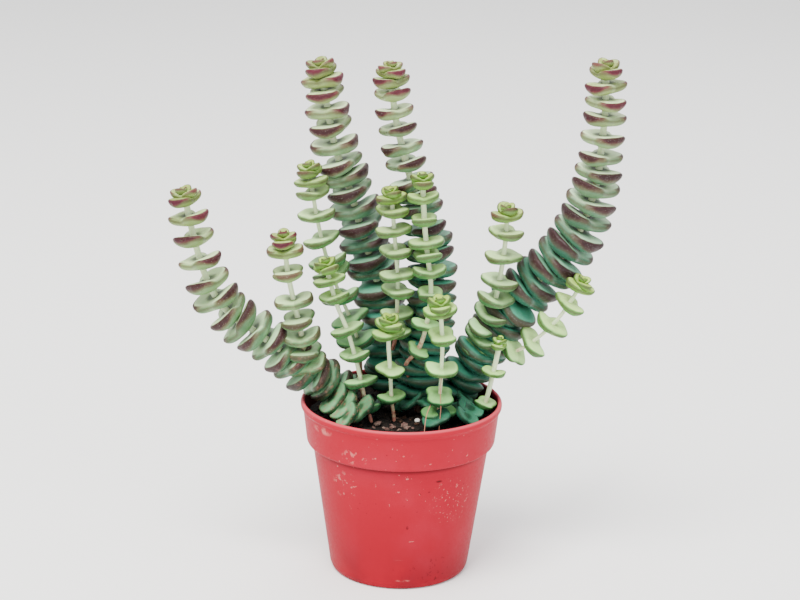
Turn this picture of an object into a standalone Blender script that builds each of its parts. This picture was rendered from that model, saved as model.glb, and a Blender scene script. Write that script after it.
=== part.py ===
"""A potted hottentot crassula: a 10.5 cm plastic nursery pot, its soil, and the leafy stems.

Metres, +Z up. The origin is the centre of the pot's flat underside, and +Y points away
from the side that the plant is usually seen from.
"""

import math
import random

import bmesh
import bpy
from mathutils import Matrix, Vector

MM = 0.001

# Pot: half of the wall's section, radius and height in mm, from the underside to the lip
POT_OUTLINE = (
    (34.0, 0.0),
    (35.6, 0.8),
    (36.5, 3.0),
    (46.3, 64.0),
    (46.5, 69.6),
    (47.7, 71.6),
    (48.8, 74.6),
    (49.5, 85.4),
    (51.0, 86.6),
    (52.3, 88.6),
    (52.3, 90.6),
    (51.5, 91.8),
)
POT_HEIGHT = 92.0
POT_WALL = 1.3
POT_FLOOR = 1.9
POT_SIDES = 40
# The lip's flat top starts this far inside its edge, and the wall meets the floor in a small bevel
LIP_ROUND = 0.8
FLOOR_BEVEL = (1.3, 1.4)
DRAIN_HOLES = 6
DRAIN_HOLE_RADIUS = 4.2
DRAIN_CIRCLE_RADIUS = 22.0
DRAIN_HOLE_SIDES = 12
DRILL_REACH = 2.0

# Soil: clearance to what it touches, level of its surface, how far its lumps rise and fall,
# how far under the surface its side ends at most, and the rings that shape it. Its lower
# edge is bevelled to clear the pot's.
GAP = 0.3
SOIL_BEVEL = (1.9, 2.0)
SOIL_LEVEL = 82.5
SOIL_RELIEF = 0.8
SOIL_EDGE_DROP = 2.0
SOIL_SIDES = 20
SOIL_RINGS = (0.86, 0.64, 0.42, 0.2)
# A stem's hole goes this much deeper than the stem, and the tool for it stands this far out
HOLE_DEEPER = 1.0
HOLE_TOOL_ABOVE = 18.0

# Leafy stems: the tube's sides and the length of its pieces, the height over the soil and the
# distance from the root below which no leaf grows, then the leaf, in shares of its length and depth
STEM_SIDES = 5
STEM_STEP = 10.0
LINE_STEPS = 20
# A stem's direction at a point is read from the line's points this many steps before and after
READ_FRONT = 3
READ_BACK = 4
LOWEST_LEAF = 7.0
BARE_FOOT = 6.0
LEAF_BREADTH = 0.76
LEAF_THICKNESS = 0.48
LEAF_ABOVE = 0.42
LEAF_BELOW = 0.58
LEAF_KEEL = 0.42
LEAF_TIP_RISE = 0.2
# One leaf from the stem to its tip: place along it, share of its breadth, share of its depth
LEAF_ROWS = ((0.3, 1.0, 1.0), (0.8, 0.76, 0.8))
HEAD_GAPS = (1.0, 1.5, 2.3)
HEAD_SIZES = (0.52, 0.78, 1.0)
HEAD_LIFTS = (32, 20, 10)
TURN_JITTER = 7
LIFT_JITTER = 4

# Every stem: its route from the root to the tip (mm), its radius at both ends, the half
# length of its leaf pairs from the tip down (mm), the gaps between the pairs from the tip
# down (the last one repeats), and how far the uppermost pair is turned from sideways.
STEMS = {
    "left_arch": dict(
        route=((-21, 6.5, 70), (-21, 6.5, 82), (-28, 5, 92), (-38, 2, 99.5), (-50, -2, 107), (-62, -5, 118.5),
               (-74.5, -8, 129), (-88, -9, 139), (-98, -10, 154), (-105, -10, 176), (-110.5, -10, 203)),
        radii=(2.0, 1.6),
        leaves=(10.3, 10.8, 12.9, 13.0, 12.4, 6.6),
        gaps=(9.6, 11, 11.9, 12, 9.4, 10.2, 8, 9.1, 8.4, 9.4, 7.6, 9, 6.6, 6.8, 6.3, 5.8),
        lifts=(8, 6),
        turn=60,
        seed=11,
    ),
    "left_arch_shoot": dict(
        route=((-45, 1, 103), (-49, -5, 111), (-50.5, -8, 122), (-53, -10, 136), (-58, -12, 160),
               (-60.5, -13, 182.5)),
        radii=(1.5, 1.3),
        leaves=(9.2, 10.2, 10.8),
        gaps=(4.8, 11.7, 15.2, 10.2, 10.5, 8, 7.2, 6.5),
        lifts=(10, 4),
        turn=90,
        seed=12,
    ),
    "tall_left": dict(
        route=((-7, 31, 70), (-7, 31, 82), (-7, 30.5, 99), (-8.5, 28.5, 119), (-13, 26, 145), (-20, 24, 169),
               (-28, 22.5, 196), (-36, 21, 220), (-41, 19.5, 246), (-44, 19, 264)),
        radii=(2.2, 1.6),
        leaves=(10.6, 12.4, 13.8, 14, 13.6, 13),
        gaps=(4.5, 6.7, 9, 8.9, 10.2, 9.8, 7.6, 8.5, 9.5, 8.9, 9.5, 8.6, 6.7, 9.5, 7.7, 8.8, 6.4),
        lifts=(6, -3),
        turn=75,
        seed=13,
    ),
    "tall_left_shoot": dict(
        route=((-6, 27, 106), (-4.5, 15, 116), (-3, 3, 127), (-3, -1.2, 143), (-3, -2.8, 159), (-5, -4, 182),
               (-7, -5, 204)),
        radii=(1.0, 1.2),
        leaves=(8.6, 10, 8.6, 7),
        gaps=(6.6, 10.2, 11.1, 12.3, 8.8, 13.1, 9, 60),
        lifts=(8, 0),
        turn=25,
        seed=14,
    ),
    "tall_centre": dict(
        route=((9, 7, 70), (9, 7, 82), (9, 7.5, 104), (13, 9, 126), (14.5, 11, 148), (14, 11, 164),
               (7.5, 11, 191), (0.5, 11, 214), (-5.5, 11, 239), (-8.5, 11, 265)),
        radii=(2.2, 1.6),
        leaves=(9.1, 10.5, 12.4, 13.2, 13, 10.4),
        gaps=(4.4, 6.7, 8.7, 8.7, 9.8, 8.7, 9.8, 7.2, 7.1, 10.5, 7.9, 6.5, 8.2, 7.6, 7.4, 6.8, 6.2),
        lifts=(8, -5),
        turn=120,
        seed=15,
    ),
    "tall_centre_shoot": dict(
        route=((9, 8, 92), (4, 3, 102), (2, -1, 111), (8, -5, 120), (12, -8, 134), (14, -9, 153),
               (12, -9.5, 171), (10, -10, 189), (8.5, -10, 213)),
        radii=(1.0, 1.4),
        leaves=(8.4, 9.3, 8.1, 6.8),
        gaps=(7.4, 11.3, 11.6, 6.8, 9, 12.2, 16.1, 15, 60),
        lifts=(10, 0),
        turn=98,
        seed=16,
    ),
    "back_left": dict(
        route=((-21, 22, 70), (-21, 22, 82), (-21.5, 19, 100), (-23, 14, 117), (-27, 10.5, 131),
               (-33.5, 9, 147), (-40, 8.5, 166), (-45, 7.5, 188), (-49, 6.5, 214)),
        radii=(0.9, 1.1),
        leaves=(8.5, 10.4, 11.1, 10.1),
        gaps=(4.5, 6.6, 11.7, 13, 12.9, 6.3, 13.2, 12.1, 14, 60),
        lifts=(10, 0),
        turn=60,
        seed=17,
    ),
    "front_left": dict(
        route=((-15.5, -10.5, 70), (-15.5, -10.5, 82), (-19, -9.5, 95.5), (-23, -9, 113), (-28, -9.5, 131),
               (-34, -9.5, 146), (-40, -9.5, 168)),
        radii=(1.0, 1.2),
        leaves=(8.4, 8.6, 8.8, 6.6),
        gaps=(6.1, 9.2, 18.4, 14.5, 14.3, 14.4, 60),
        lifts=(8, 0),
        turn=125,
        seed=18,
    ),
    "front_centre": dict(
        route=((-3.5, -8, 70), (-3.5, -8, 82), (-5, -10, 94), (-6, -13, 111), (-7, -16, 126),
               (-7, -17.5, 141)),
        radii=(0.9, 1.15),
        leaves=(8.4, 7.9, 7.2),
        gaps=(4, 20.7, 16.4, 60),
        lifts=(8, 0),
        turn=135,
        seed=19,
    ),
    "front_right": dict(
        route=((19, -14, 70), (19, -14, 82), (19.5, -15, 98), (20, -18.5, 113), (20, -22.5, 132),
               (18, -25, 153)),
        radii=(0.8, 1.15),
        leaves=(8.8, 9, 10.2),
        gaps=(2.2, 13.6, 19.3, 15.2, 9.1, 60),
        lifts=(8, -8),
        turn=100,
        seed=20,
    ),
    "right_arch": dict(
        route=((26, 17, 70), (26, 17, 82), (29.5, 18, 93.5), (42, 16.5, 114.5), (57, 13.5, 140), (74, 9, 159.5),
               (88, 6, 179), (96, 4, 204), (98.8, 3, 229), (99.6, 2, 249), (98.6, 2, 268.5)),
        radii=(2.2, 1.6),
        leaves=(10.5, 11.6, 14.6, 15, 13.6, 11),
        gaps=(6.5, 8, 8.2, 10.3, 9.8, 8, 8.4, 8.5, 8.5, 8.6, 8.7, 8.3, 8.3, 8.6, 7.9, 8.9, 7.7, 6.2),
        lifts=(5, 4),
        turn=125,
        seed=21,
    ),
    "right_arch_shoot": dict(
        route=((37.5, 17, 107), (40.5, 12, 119), (43.5, 8, 129), (47.5, 4, 145), (51, 1, 171.5), (52, -1, 195)),
        radii=(1.3, 1.3),
        leaves=(9.4, 10.3, 10.3),
        gaps=(9.3, 12.6, 14, 10.1, 9.5, 7, 7.1),
        lifts=(8, 2),
        turn=30,
        seed=22,
    ),
    "right_arch_side_shoot": dict(
        route=((33, 18, 98), (42, 17, 106.5), (53, 10, 113), (66, 3, 122), (80.2, -3, 138.5), (91.5, -7, 159.5)),
        radii=(0.9, 1.0),
        leaves=(8.6, 9.7, 8.6),
        gaps=(10.9, 15.4, 14.6, 11.6, 60),
        lifts=(8, 0),
        turn=20,
        seed=23,
    ),
    "back_right": dict(
        route=((15, 36, 70), (15, 36, 82), (16, 35, 98), (17.5, 33.5, 116)),
        radii=(1.5, 1.3),
        leaves=(7.7, 8.6, 8.1),
        gaps=(5, 6, 6.4),
        lifts=(10, 0),
        turn=15,
        seed=25,
    ),
    "right_short": dict(
        route=((41, 1, 70), (41, 1, 82), (43.5, -1, 90), (47, -3, 107), (49.5, -4, 122), (50, -4, 127)),
        radii=(1.2, 1.4),
        leaves=(5.6, 7, 7),
        gaps=(14.8, 18.2, 60),
        lifts=(6, 0),
        turn=70,
        seed=24,
    ),
}

# The stems that have grown together into one body, under the name of that body
BODIES = {
    "leafy_stem_left": ("left_arch", "left_arch_shoot"),
    "leafy_stem_tall_left": ("tall_left", "tall_left_shoot"),
    "leafy_stem_tall_centre": ("tall_centre", "tall_centre_shoot"),
    "leafy_stem_back_left": ("back_left",),
    "leafy_stem_front_left": ("front_left",),
    "leafy_stem_front_centre": ("front_centre",),
    "leafy_stem_front_right": ("front_right",),
    "leafy_stem_back_right": ("back_right",),
    "leafy_stem_right": ("right_arch", "right_arch_shoot", "right_arch_side_shoot"),
    "leafy_stem_right_short": ("right_short",),
}

POT_RED = (0.61, 0.085, 0.09, 1.0)
SOIL_BROWN = (0.035, 0.022, 0.016, 1.0)
LEAF_GREEN = (0.20, 0.34, 0.17, 1.0)


def clear_scene():
    for old in list(bpy.data.objects):
        bpy.data.objects.remove(old)


def plain_material(name, colour, roughness):
    material = bpy.data.materials.new(name)
    material.use_nodes = True
    shader = material.node_tree.nodes["Principled BSDF"]
    shader.inputs["Base Color"].default_value = colour
    shader.inputs["Roughness"].default_value = roughness
    shader.inputs["Metallic"].default_value = 0.0
    return material


def object_from(name, points, faces):
    """A new object from points in mm. Its faces are turned to point outwards."""
    mesh = bpy.data.meshes.new(name)
    mesh.from_pydata([Vector(point) * MM for point in points], [], faces)
    shape = bmesh.new()
    shape.from_mesh(mesh)
    bmesh.ops.recalc_face_normals(shape, faces=shape.faces)
    shape.to_mesh(mesh)
    shape.free()
    made = bpy.data.objects.new(name, mesh)
    bpy.context.scene.collection.objects.link(made)
    return made


def shade_round(made, angle):
    made.data.shade_smooth()
    made.data.set_sharp_from_angle(angle=math.radians(angle))


def boolean(made, others, operation, solver="EXACT"):
    """Joins the other objects to this one or cuts them from it, then removes them."""
    group = bpy.data.collections.new("operands")
    for other in others:
        group.objects.link(other)
    step = made.modifiers.new("boolean", "BOOLEAN")
    step.operation = operation
    step.operand_type = "COLLECTION"
    step.collection = group
    step.solver = solver
    bpy.context.view_layer.objects.active = made
    with bpy.context.temp_override(object=made, active_object=made):
        bpy.ops.object.modifier_apply(modifier=step.name)
    for other in others:
        bpy.data.objects.remove(other)
    bpy.data.collections.remove(group)


def ring(radius, height, sides):
    angles = [2 * math.pi * i / sides for i in range(sides)]
    return [(radius * math.cos(a), radius * math.sin(a), height) for a in angles]


def loft(rings, start=None, end=None):
    """Points and faces through rings of equally many points, closed by a point or a flat face."""
    points = [point for each in rings for point in each]
    count = len(rings[0])
    faces = []
    for row in range(len(rings) - 1):
        for i in range(count):
            j = (i + 1) % count
            faces.append((row * count + i, row * count + j, (row + 1) * count + j, (row + 1) * count + i))
    last = (len(rings) - 1) * count
    for row, tip in ((0, start), (last, end)):
        if tip is None:
            faces.append(tuple(range(row, row + count)))
        else:
            points.append(tip)
            faces += [(row + i, row + (i + 1) % count, len(points) - 1) for i in range(count)]
    return points, faces


def pot_inner_radius(height):
    """Radius of the pot's inner wall at a height, from the outline."""
    for (low_r, low_z), (high_r, high_z) in zip(POT_OUTLINE, POT_OUTLINE[1:]):
        if low_z <= height <= high_z:
            share = (height - low_z) / (high_z - low_z)
            return low_r + (high_r - low_r) * share - POT_WALL
    return POT_OUTLINE[-1][0] - POT_WALL


def make_pot():
    bevel_in, bevel_up = FLOOR_BEVEL
    lip_top = (POT_OUTLINE[-1][0] - LIP_ROUND, POT_HEIGHT)
    inner = [(pot_inner_radius(z), z) for r, z in reversed(POT_OUTLINE) if z > POT_FLOOR + bevel_up]
    corner = pot_inner_radius(POT_FLOOR + bevel_up)
    section = [*POT_OUTLINE, lip_top, *inner, (corner, POT_FLOOR + bevel_up), (corner - bevel_in, POT_FLOOR)]
    rings = [ring(radius, height, POT_SIDES) for radius, height in section]
    points, faces = loft(rings, start=(0, 0, 0), end=(0, 0, POT_FLOOR))
    pot = object_from("pot", points, faces)
    drills = []
    for i in range(DRAIN_HOLES):
        angle = 2 * math.pi * (i + 0.5) / DRAIN_HOLES
        x = DRAIN_CIRCLE_RADIUS * math.cos(angle)
        y = DRAIN_CIRCLE_RADIUS * math.sin(angle)
        ends = (-DRILL_REACH, POT_FLOOR + DRILL_REACH)
        hole = [ring(DRAIN_HOLE_RADIUS, z, DRAIN_HOLE_SIDES) for z in ends]
        hole = [[(px + x, py + y, pz) for px, py, pz in each] for each in hole]
        drills.append(object_from("drill", *loft(hole)))
    boolean(pot, drills, "DIFFERENCE")
    shade_round(pot, 35)
    pot.data.materials.append(plain_material("pot_red", POT_RED, 0.42))


def soil_height(x, y):
    """The surface's lumps, as a few crossed waves."""
    waves = math.sin(0.31 * x + 1.0) * math.cos(0.27 * y - 0.6)
    waves += 0.6 * math.sin(0.55 * y + 0.23 * x) + 0.5 * math.cos(0.62 * x - 0.38 * y + 2.0)
    return SOIL_LEVEL + SOIL_RELIEF * waves / 2


def make_soil():
    floor = POT_FLOOR + GAP
    bevel_in, bevel_up = SOIL_BEVEL
    corner = pot_inner_radius(floor + bevel_up) - GAP
    side = [(corner - bevel_in, floor), (corner, floor + bevel_up)]
    side += [(pot_inner_radius(z) - GAP, z) for r, z in POT_OUTLINE if floor + bevel_up < z < SOIL_LEVEL - SOIL_EDGE_DROP]
    rings = [ring(radius, height, SOIL_SIDES) for radius, height in side]
    edge = pot_inner_radius(SOIL_LEVEL) - GAP
    for share in (1.0, *SOIL_RINGS):
        flat = ring(edge * share, 0, SOIL_SIDES)
        rings.append([(x, y, soil_height(x, y)) for x, y, z in flat])
    soil = object_from("soil", *loft(rings, start=(0, 0, floor), end=(0, 0, soil_height(0, 0))))
    holes = []
    for name, stem in STEMS.items():
        if stem["route"][0][2] < SOIL_LEVEL:
            holes.append(tube(name + "_hole", stem, GAP, SOIL_LEVEL + HOLE_TOOL_ABOVE))
    boolean(soil, holes, "DIFFERENCE")
    shade_round(soil, 50)
    soil.data.materials.append(plain_material("soil_brown", SOIL_BROWN, 0.95))


def curve_point(route, place):
    """A point of the smooth curve through the route's points. Place counts in points."""
    start = min(int(place), len(route) - 2)
    near = [Vector(route[min(max(start + k, 0), len(route) - 1)]) for k in (-1, 0, 1, 2)]
    a, b, c, d = near
    t = place - start
    bend = (2 * a - 5 * b + 4 * c - d) * t**2 + (3 * b - a - 3 * c + d) * t**3
    return b + ((c - a) * t + bend) / 2


def stem_line(route):
    """Points along the whole stem from the tip down, and their distances from the tip."""
    steps = LINE_STEPS * (len(route) - 1)
    line = [curve_point(route, i / LINE_STEPS) for i in range(steps, -1, -1)]
    distances = [0.0]
    for near, far in zip(line, line[1:]):
        distances.append(distances[-1] + (far - near).length)
    return line, distances


def at_distance(line, distances, distance):
    """The point at this distance from the tip, and the direction of growth there."""
    i = 0
    while i < len(distances) - 2 and distances[i + 1] < distance:
        i += 1
    share = (distance - distances[i]) / (distances[i + 1] - distances[i])
    point = line[i].lerp(line[i + 1], share)
    back = line[min(i + READ_BACK, len(line) - 1)]
    front = line[max(i - READ_FRONT, 0)]
    return point, (front - back).normalized()


def tube(name, stem, wider=0.0, top=None):
    """The stem's own tube. Given a top, it is what clears the stem below that height, wider and deeper."""
    line, distances = stem_line(stem["route"])
    length = distances[-1]
    count = max(2, round(length / STEM_STEP))
    base, tip = stem["radii"]
    rings = []
    for i in range(count + 1):
        distance = length * i / count
        point, growth = at_distance(line, distances, distance)
        if top is not None and point.z > top:
            continue
        radius = tip + (base - tip) * i / count + wider
        across = sideways(growth)
        other = growth.cross(across)
        corners = [2 * math.pi * k / STEM_SIDES for k in range(STEM_SIDES)]
        rings.append([tuple(point + radius * (across * math.cos(a) + other * math.sin(a))) for a in corners])
    if top is not None:
        rings.append([(x, y, z - HOLE_DEEPER) for x, y, z in rings[-1]])
    return object_from(name, *loft(rings))


def sideways(growth):
    """The direction square to the growth that lies nearest to +X."""
    across = Vector((1, 0, 0))
    return (across - growth * across.dot(growth)).normalized()


def leaf_pair(size, lift):
    """Two leaves joined round the stem, their tips at plus and minus size along X, lifted by an angle.

    Each leaf is flat above and tapers to a narrow keel below. Points are in mm, the stem along Z.
    """
    thick = size * LEAF_THICKNESS
    half = size * LEAF_BREADTH
    lift = math.radians(lift)
    rings = []
    tips = []
    for side in (-1, 1):
        along = Vector((side * math.cos(lift), 0, math.sin(lift)))
        upward = Vector((-side * math.sin(lift), 0, math.cos(lift)))
        made = []
        for reach, width, depth in LEAF_ROWS:
            middle = along * size * reach
            edge = Vector((0, half * width, 0))
            top = upward * LEAF_ABOVE * thick
            keel = upward * LEAF_BELOW * thick * depth
            made.append([middle - edge + top, middle + edge + top,
                         middle + edge * LEAF_KEEL - keel, middle - edge * LEAF_KEEL - keel])
        rings += made[::-1] if side < 0 else made
        tips.append(along * size + upward * LEAF_TIP_RISE * thick)
    return loft(rings, start=tips[0], end=tips[1])


def placed(points, origin, across, growth):
    """The points moved so that X lies along across, Z along growth and the middle at origin."""
    frame = Matrix((across, growth.cross(across), growth)).transposed()
    return [origin + frame @ Vector(point) for point in points]


def between(values, share):
    """A value of an evenly spaced list, at a share of its length."""
    place = share * (len(values) - 1)
    i = min(int(place), len(values) - 2)
    return values[i] + (values[i + 1] - values[i]) * (place - i)


def pair_places(stem):
    """Distance from the tip, half length and lift of every leaf pair, from the head down."""
    line, distances = stem_line(stem["route"])
    places = []
    distance = 0.0
    for gap, size, lift in zip(HEAD_GAPS, HEAD_SIZES, HEAD_LIFTS):
        distance += gap
        places.append((distance, size * stem["leaves"][0], lift))
    gaps = stem["gaps"]
    lowest = distances[-1] - BARE_FOOT
    i = 0
    while True:
        distance += gaps[min(i, len(gaps) - 1)]
        i += 1
        if distance > lowest:
            break
        point, growth = at_distance(line, distances, distance)
        if point.z < SOIL_LEVEL + LOWEST_LEAF:
            break
        share = distance / distances[-1]
        places.append((distance, between(stem["leaves"], share), between(stem["lifts"], share)))
    return line, distances, places


def leaf_pairs(name, stem):
    """Every leaf pair of a stem, each a quarter turn from the one above it."""
    line, distances, places = pair_places(stem)
    draw = random.Random(stem["seed"])
    made = []
    for i, (distance, size, lift) in enumerate(places):
        origin, growth = at_distance(line, distances, distance)
        turn = math.radians(stem["turn"] + 90 * i + draw.uniform(-TURN_JITTER, TURN_JITTER))
        across = sideways(growth)
        across = across * math.cos(turn) + growth.cross(across) * math.sin(turn)
        points, faces = leaf_pair(size, lift + draw.uniform(-LIFT_JITTER, LIFT_JITTER))
        made.append(object_from(name + "_pair", placed(points, origin, across, growth), faces))
    return made


def make_leafy_stem(body, names):
    """One body: its stems and all their leaf pairs, joined."""
    pieces = []
    for name in names:
        pieces.append(tube(name, STEMS[name]))
        pieces += leaf_pairs(name, STEMS[name])
    whole = pieces.pop(0)
    boolean(whole, pieces, "UNION", "MANIFOLD")
    whole.name = body
    whole.data.name = body
    shade_round(whole, 30)
    whole.data.materials.append(plain_material(body + "_green", LEAF_GREEN, 0.55))


def main():
    clear_scene()
    make_pot()
    make_soil()
    for body, names in BODIES.items():
        make_leafy_stem(body, names)


main()
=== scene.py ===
import math
import random

import bmesh
import bpy
import numpy as np
from mathutils import Matrix, Vector, noise


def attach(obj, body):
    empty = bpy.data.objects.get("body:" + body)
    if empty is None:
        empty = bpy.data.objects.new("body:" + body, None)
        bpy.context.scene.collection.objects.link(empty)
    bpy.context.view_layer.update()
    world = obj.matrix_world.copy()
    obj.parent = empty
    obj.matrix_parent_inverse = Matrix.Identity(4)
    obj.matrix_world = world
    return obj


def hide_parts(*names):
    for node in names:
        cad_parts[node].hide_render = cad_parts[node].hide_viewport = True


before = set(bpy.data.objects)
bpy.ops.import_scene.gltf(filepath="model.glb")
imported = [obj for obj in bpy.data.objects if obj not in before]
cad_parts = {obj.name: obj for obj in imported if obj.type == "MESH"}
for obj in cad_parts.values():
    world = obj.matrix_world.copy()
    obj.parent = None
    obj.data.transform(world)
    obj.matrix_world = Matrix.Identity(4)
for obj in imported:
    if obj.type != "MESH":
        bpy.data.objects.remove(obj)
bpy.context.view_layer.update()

# Potted hottentot crassula: the looks. Sizes are in mm and become metres as they reach a mesh.
mm = 0.001


# Selecting, shaping and finishing

def clearSelection():
    if bpy.context.mode != "OBJECT":
        bpy.ops.object.mode_set(mode="OBJECT")
    bpy.ops.object.select_all(action="DESELECT")


def workOn(piece):
    clearSelection()
    piece.select_set(True)
    bpy.context.view_layer.objects.active = piece


def nameNew(name):  # the object that the last primitive made
    piece = bpy.context.active_object
    piece.name = name
    piece.data.name = name
    return piece


def pickPoints(piece, test):  # in edit mode
    bpy.ops.mesh.select_mode(type="VERT")
    bpy.ops.mesh.select_all(action="DESELECT")
    shape = bmesh.from_edit_mesh(piece.data)
    for point in shape.verts:
        point.select = test(point.co)
    shape.select_flush(True)
    bmesh.update_edit_mesh(piece.data)


def openMesh():  # edit mode, with all of it picked
    bpy.ops.object.mode_set(mode="EDIT")
    bpy.ops.mesh.select_all(action="SELECT")


def applyAll(piece):
    workOn(piece)
    for step in list(piece.modifiers):
        bpy.ops.object.modifier_apply(modifier=step.name)


def turnOutwards(piece):
    workOn(piece)
    openMesh()
    bpy.ops.mesh.remove_doubles(threshold=0.00001)
    bpy.ops.mesh.normals_make_consistent(inside=False)
    bpy.ops.object.mode_set(mode="OBJECT")


def roundShade(piece, angle):
    workOn(piece)
    bpy.ops.object.shade_smooth_by_angle(angle=math.radians(angle))


def joinAll(pieces, name):
    clearSelection()
    for piece in pieces:
        piece.select_set(True)
    bpy.context.view_layer.objects.active = pieces[0]
    bpy.ops.object.join()
    whole = bpy.context.active_object
    whole.name = name
    whole.data.name = name
    return whole


def latheUp(name, sides, rings):  # a bottom face that grows through rings of (radius, height) in mm
    radius, height = rings[0]
    clearSelection()
    bpy.ops.mesh.primitive_circle_add(vertices=sides, radius=radius * mm, fill_type="NGON",
                                      location=(0, 0, height * mm))
    piece = nameNew(name)
    bpy.ops.object.transform_apply(location=True, rotation=True, scale=True)
    openMesh()
    for nextRadius, nextHeight in rings[1:]:
        rise = (nextHeight - height) * mm
        bpy.ops.mesh.extrude_region_move(TRANSFORM_OT_translate={"value": (0, 0, rise)})
        wider = nextRadius / radius
        bpy.ops.transform.resize(value=(wider, wider, 1), center_override=(0, 0, nextHeight * mm))
        radius, height = nextRadius, nextHeight
    turnOutwards(piece)
    return piece


def pointsOf(piece):
    return np.array([point.co for point in piece.data.vertices])


def placeCopy(model, points):  # with a mesh of its own, and these points in mm
    piece = model.copy()
    piece.data = model.data.copy()
    bpy.context.scene.collection.objects.link(piece)
    piece.data.vertices.foreach_set("co", (points * mm).ravel())
    piece.data.update()
    return piece


def drawTube(name, course, roundness):  # along places with their radii, in mm
    clearSelection()
    bpy.ops.curve.primitive_nurbs_path_add()
    tube = nameNew(name)
    tube.data.splines.clear()
    spline = tube.data.splines.new("POLY")
    spline.points.add(len(course) - 1)
    for point, (place, radius) in zip(spline.points, course):
        point.co = (*(place * mm), 1)
        point.radius = radius * mm
    tube.data.bevel_depth = 1.0
    tube.data.bevel_resolution = roundness
    tube.data.use_fill_caps = True
    tube.location = (0, 0, 0)
    bpy.ops.object.convert(target="MESH")
    return bpy.context.active_object


def handOver(piece, slot, *nodes):
    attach(piece, "root")
    if nodes:
        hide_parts(*nodes)


# Materials

def tint(red, green, blue):  # screen colour, 0 to 255, as the shader takes it
    shares = [value / 255 for value in (red, green, blue)]
    return (*[s / 12.92 if s < 0.04045 else ((s + 0.055) / 1.055) ** 2.4 for s in shares], 1)


def newFinish(name):
    finish = bpy.data.materials.new(name)
    finish.use_nodes = True
    return finish, finish.node_tree.nodes["Principled BSDF"]


def plugIn(node, inputs):  # other nodes' outputs, or plain values
    for name, value in inputs.items():
        if isinstance(value, bpy.types.NodeSocket):
            node.id_data.links.new(value, node.inputs[name])
        else:
            node.inputs[name].default_value = value
    return node


def addNode(kind, inputs, **settings):  # in the tree that its inputs come from
    tree = next(value.id_data for value in inputs.values() if isinstance(value, bpy.types.NodeSocket))
    node = tree.nodes.new(kind)
    for name, value in settings.items():
        setattr(node, name, value)
    return plugIn(node, inputs)


def sums(operation, total, *values):  # one value after the other
    for value in values:
        total = addNode("ShaderNodeMath", {0: total, 1: value}, operation=operation).outputs[0]
    return total


def plus(*values):
    return sums("ADD", *values)


def minus(*values):
    return sums("SUBTRACT", *values)


def times(*values):
    return sums("MULTIPLY", *values)


def spread(value, low, high, lowTo=0.0, highTo=1.0):
    inputs = {"Value": value, "From Min": low, "From Max": high, "To Min": lowTo, "To Max": highTo}
    return addNode("ShaderNodeMapRange", inputs, interpolation_type="SMOOTHSTEP").outputs[0]


def blendIn(share, *colours):  # from the first to the second, each an output or a screen colour
    below, above = [colour if isinstance(colour, bpy.types.NodeSocket) else tint(*colour) for colour in colours]
    return addNode("ShaderNodeMix", {0: share, 6: below, 7: above}, data_type="RGBA").outputs[2]


def colourRamp(share, stops):
    node = addNode("ShaderNodeValToRGB", {"Fac": share})
    marks = node.color_ramp.elements
    while len(marks) < len(stops):
        marks.new(1)
    for mark, (place, colour) in zip(marks, stops):
        mark.position = place
        mark.color = tint(*colour)
    return node.outputs["Color"]


def objectPlace(shader):
    return shader.id_data.nodes.new("ShaderNodeTexCoord").outputs["Object"]


def speckle(place, scale, detail=3.0, roughness=0.55):
    inputs = {"Vector": place, "Scale": scale, "Detail": detail, "Roughness": roughness}
    return addNode("ShaderNodeTexNoise", inputs).outputs["Fac"]


def reading(shader, name):
    node = shader.id_data.nodes.new("ShaderNodeAttribute")
    node.attribute_name = name
    return node.outputs["Fac"]


def bumps(shader, height, distance, strength=1.0):
    inputs = {"Height": height, "Distance": distance, "Strength": strength}
    plugIn(shader, {"Normal": addNode("ShaderNodeBump", inputs).outputs[0]})


leafHues = {
    "oldByAge": (
        (0.0, (134, 146, 74)), (0.03, (152, 170, 104)), (0.1, (200, 218, 166)), (0.28, (184, 210, 168)),
        (0.42, (118, 166, 134)), (0.6, (62, 140, 114)), (1.0, (40, 120, 98)),
    ),
    # The side colours hold painted shade as well as the sides' own colour
    "oldSideHueAndShadeByAge": (
        (0.0, (116, 130, 70)), (0.08, (126, 144, 92)), (0.22, (100, 132, 94)), (0.4, (48, 96, 74)),
        (1.0, (22, 92, 76)),
    ),
    "youngByAge": (
        (0.0, (150, 176, 66)), (0.08, (170, 208, 108)), (0.45, (178, 224, 136)), (0.7, (146, 206, 116)),
        (1.0, (70, 140, 88)),
    ),
    "youngSideHueAndShadeByAge": ((0.0, (92, 136, 44)), (0.1, (76, 128, 54)), (0.5, (46, 106, 48)), (1.0, (24, 78, 50))),
    "edgeByAge": (
        (0.0, (88, 10, 42)), (0.05, (84, 14, 38)), (0.18, (56, 17, 26)), (0.6, (42, 22, 24)), (1.0, (16, 28, 28)),
    ),
    "edgeDeep": (20, 6, 10),
    "youngFade": (66, 84, 42),
    "youngRim": (100, 156, 74),
    "edgeFade": (92, 80, 58),
    "oldFade": (68, 54, 46),
    # hollow: the colour of the painted shade on the tops round the stem
    "hollow": (26, 44, 18),
    "bloom": (206, 216, 196),
    "shade": (14, 56, 42),
    "youngShade": (28, 78, 46),
    "rimLineAndShade": (64, 60, 34),
    "mottle": (172, 116, 100),
}
soilShade = {"height": (0.112, 0.094), "left": (-0.026, -0.012), "right": (0.034, 0.042)}  # metres


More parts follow.
